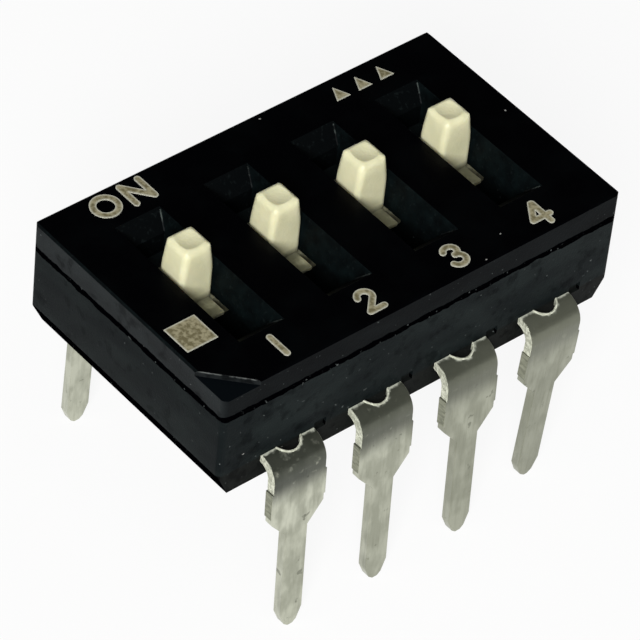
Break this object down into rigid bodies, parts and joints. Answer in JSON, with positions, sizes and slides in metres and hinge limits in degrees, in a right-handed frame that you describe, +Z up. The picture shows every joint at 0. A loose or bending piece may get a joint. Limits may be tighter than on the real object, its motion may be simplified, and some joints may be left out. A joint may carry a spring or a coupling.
{
  "type": "dip switch",
  "caption": "Black slide DIP switch: a base with bent tinned leads and a cover whose sloped funnels show cream slides, all set to ON.",
  "frame": {"origin": "under the middle of the body, on the plane that the tips of the leads stand on", "axes": "+X along the row of switches from number 1 to number 4, +Y towards the ON side, +Z up out of the cover"},
  "size_m": [0.0116, 0.0082, 0.0085],
  "materials": {
    "base_plastic": "charcoal black glass-filled thermoplastic, fine moulded grain",
    "cover_plastic": "black thermoplastic, satin top with a slightly paler edge band",
    "slide_plastic": "cream moulded plastic, soft sheen",
    "spring_bronze": "rolled phosphor bronze strip",
    "tinned_lead": "dull tin plating with faint marks of the press along the pin",
    "print_ink": "tan pad-printed ink"
  },
  "bodies": {
    "housing": {"base": "base_plastic", "cover": "cover_plastic", "lead_1": "tinned_lead", "lead_2": "tinned_lead", "lead_3": "tinned_lead", "lead_4": "tinned_lead", "lead_5": "tinned_lead", "lead_6": "tinned_lead", "lead_7": "tinned_lead", "lead_8": "tinned_lead", "print_on": "print_ink", "print_numbers": "print_ink", "print_marks": "print_ink"},
    "slider_1": {"slide_1": "slide_plastic", "contact_spring_1": "spring_bronze"},
    "slider_2": {"slide_2": "slide_plastic", "contact_spring_2": "spring_bronze"},
    "slider_3": {"slide_3": "slide_plastic", "contact_spring_3": "spring_bronze"},
    "slider_4": {"slide_4": "slide_plastic", "contact_spring_4": "spring_bronze"}
  },
  "joints": [
    {"name": "slide_1_travel", "type": "slide", "parent": "housing", "child": "slider_1", "axis": [0, 1, 0], "range_m": [-0.00084, 0]},
    {"name": "slide_2_travel", "type": "slide", "parent": "housing", "child": "slider_2", "axis": [0, 1, 0], "range_m": [-0.00084, 0]},
    {"name": "slide_3_travel", "type": "slide", "parent": "housing", "child": "slider_3", "axis": [0, 1, 0], "range_m": [-0.00084, 0]},
    {"name": "slide_4_travel", "type": "slide", "parent": "housing", "child": "slider_4", "axis": [0, 1, 0], "range_m": [-0.00084, 0]}
  ]
}
